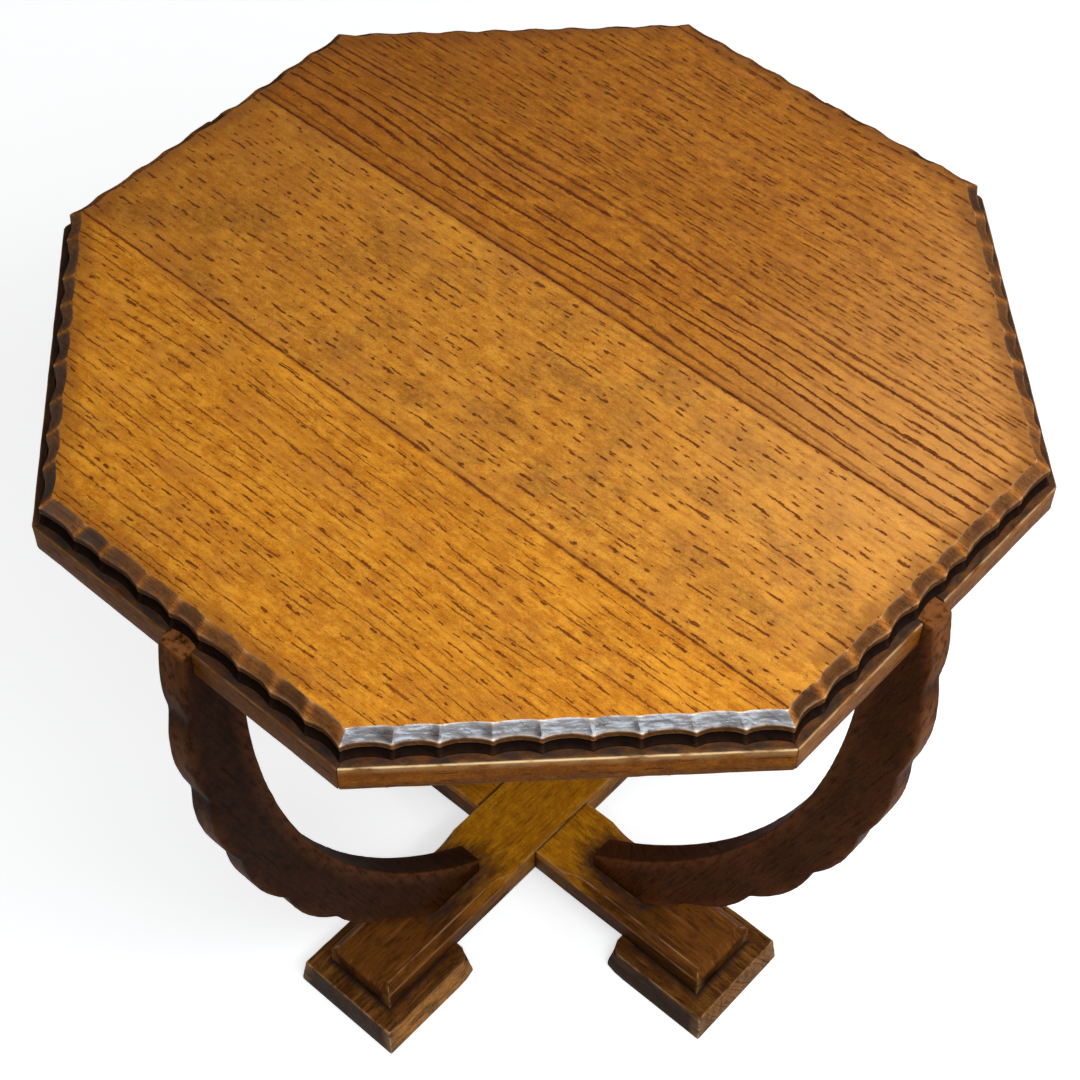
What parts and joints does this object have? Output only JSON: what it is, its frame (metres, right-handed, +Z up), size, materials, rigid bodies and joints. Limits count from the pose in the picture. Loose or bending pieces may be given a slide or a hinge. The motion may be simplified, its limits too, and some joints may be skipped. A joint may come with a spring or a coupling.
{
  "type": "occasional table",
  "caption": "Small octagonal oak occasional table: a fixed top with a gouged edge on a mitred frame, curved notched legs, crossed arms and square feet.",
  "frame": {"origin": "on the floor, under the middle of the table", "axes": "+Z up; +Y to the back, so -Y is the side that faces the viewer in the picture; the legs stand on the diagonals"},
  "size_m": [0.466, 0.466, 0.465],
  "materials": {
    "top_oak": "golden brown oak, waxed, satin, with darker open pores",
    "frame_oak": "golden oak with pale worn arrises, satin",
    "leg_oak": "dark stained oak, satin, rubbed paler on the outer edge",
    "base_oak": "brown stained oak, rubbed golden on top and pale on the arrises",
    "screw_steel": "dull steel with a slotted head"
  },
  "bodies": {
    "root": {"top_board_front": "top_oak", "top_board_middle": "top_oak", "top_board_rear": "top_oak", "rail_right": "frame_oak", "screw_rail_right_a": "screw_steel", "screw_rail_right_b": "screw_steel", "rail_back_right": "frame_oak", "screw_rail_back_right_a": "screw_steel", "screw_rail_back_right_b": "screw_steel", "rail_back": "frame_oak", "screw_rail_back_a": "screw_steel", "screw_rail_back_b": "screw_steel", "rail_back_left": "frame_oak", "screw_rail_back_left_a": "screw_steel", "screw_rail_back_left_b": "screw_steel", "rail_left": "frame_oak", "screw_rail_left_a": "screw_steel", "screw_rail_left_b": "screw_steel", "rail_front_left": "frame_oak", "screw_rail_front_left_a": "screw_steel", "screw_rail_front_left_b": "screw_steel", "rail_front": "frame_oak", "screw_rail_front_a": "screw_steel", "screw_rail_front_b": "screw_steel", "rail_front_right": "frame_oak", "screw_rail_front_right_a": "screw_steel", "screw_rail_front_right_b": "screw_steel", "leg_back_right": "leg_oak", "screw_leg_back_right": "screw_steel", "screw_toe_back_right": "screw_steel", "foot_back_right": "base_oak", "screw_foot_back_right_inner": "screw_steel", "screw_foot_back_right_outer": "screw_steel", "leg_back_left": "leg_oak", "screw_leg_back_left": "screw_steel", "screw_toe_back_left": "screw_steel", "foot_back_left": "base_oak", "screw_foot_back_left_inner": "screw_steel", "screw_foot_back_left_outer": "screw_steel", "leg_front_left": "leg_oak", "screw_leg_front_left": "screw_steel", "screw_toe_front_left": "screw_steel", "foot_front_left": "base_oak", "screw_foot_front_left_inner": "screw_steel", "screw_foot_front_left_outer": "screw_steel", "leg_front_right": "leg_oak", "screw_leg_front_right": "screw_steel", "screw_toe_front_right": "screw_steel", "foot_front_right": "base_oak", "screw_foot_front_right_inner": "screw_steel", "screw_foot_front_right_outer": "screw_steel", "arm_upper": "base_oak", "arm_lower": "base_oak", "screw_crossing": "screw_steel"}
  },
  "joints": []
}
